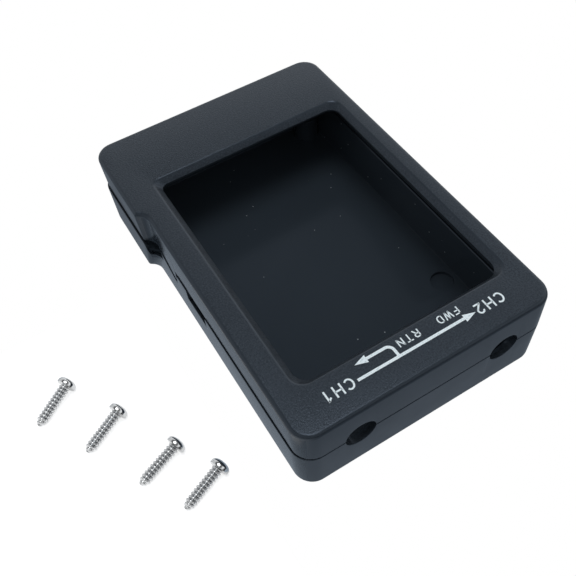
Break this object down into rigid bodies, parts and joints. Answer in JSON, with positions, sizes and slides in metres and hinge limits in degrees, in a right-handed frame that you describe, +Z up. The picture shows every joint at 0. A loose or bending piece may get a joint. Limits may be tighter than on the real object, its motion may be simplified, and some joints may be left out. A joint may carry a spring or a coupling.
{
  "type": "handheld network analyzer case",
  "caption": "Empty two-part moulded plastic case for a handheld network analyzer, with display window, round port holes, side openings and loose pan-head screws.",
  "frame": {"origin": "centre of the rear shell's underside, on the surface that the case lies on", "axes": "+Z up through the display window, +Y away from the end with the two port holes, -X towards the side with the stepped-in wall"},
  "size_m": [0.1001, 0.092, 0.022],
  "materials": {
    "front_plastic": "fine spark-eroded texture on the face, satin sides",
    "rear_plastic": "satin moulded",
    "plated_steel": "bright zinc-nickel plate"
  },
  "bodies": {
    "rear_half": {"rear_shell": "rear_plastic"},
    "front_half": {"front_shell": "front_plastic"},
    "loose_screw_1": {"screw_1": "plated_steel"},
    "loose_screw_2": {"screw_2": "plated_steel"},
    "loose_screw_3": {"screw_3": "plated_steel"},
    "loose_screw_4": {"screw_4": "plated_steel"}
  },
  "joints": [
    {"name": "front_lift", "type": "slide", "parent": "rear_half", "child": "front_half", "axis": [0, 0, 1], "range_m": [0, 0.03]},
    {"name": "screw_1_pick", "type": "slide", "parent": "rear_half", "child": "loose_screw_1", "axis": [0, 0, 1], "range_m": [0, 0.03]},
    {"name": "screw_2_pick", "type": "slide", "parent": "rear_half", "child": "loose_screw_2", "axis": [0, 0, 1], "range_m": [0, 0.03]},
    {"name": "screw_3_pick", "type": "slide", "parent": "rear_half", "child": "loose_screw_3", "axis": [0, 0, 1], "range_m": [0, 0.03]},
    {"name": "screw_4_pick", "type": "slide", "parent": "rear_half", "child": "loose_screw_4", "axis": [0, 0, 1], "range_m": [0, 0.03]}
  ]
}
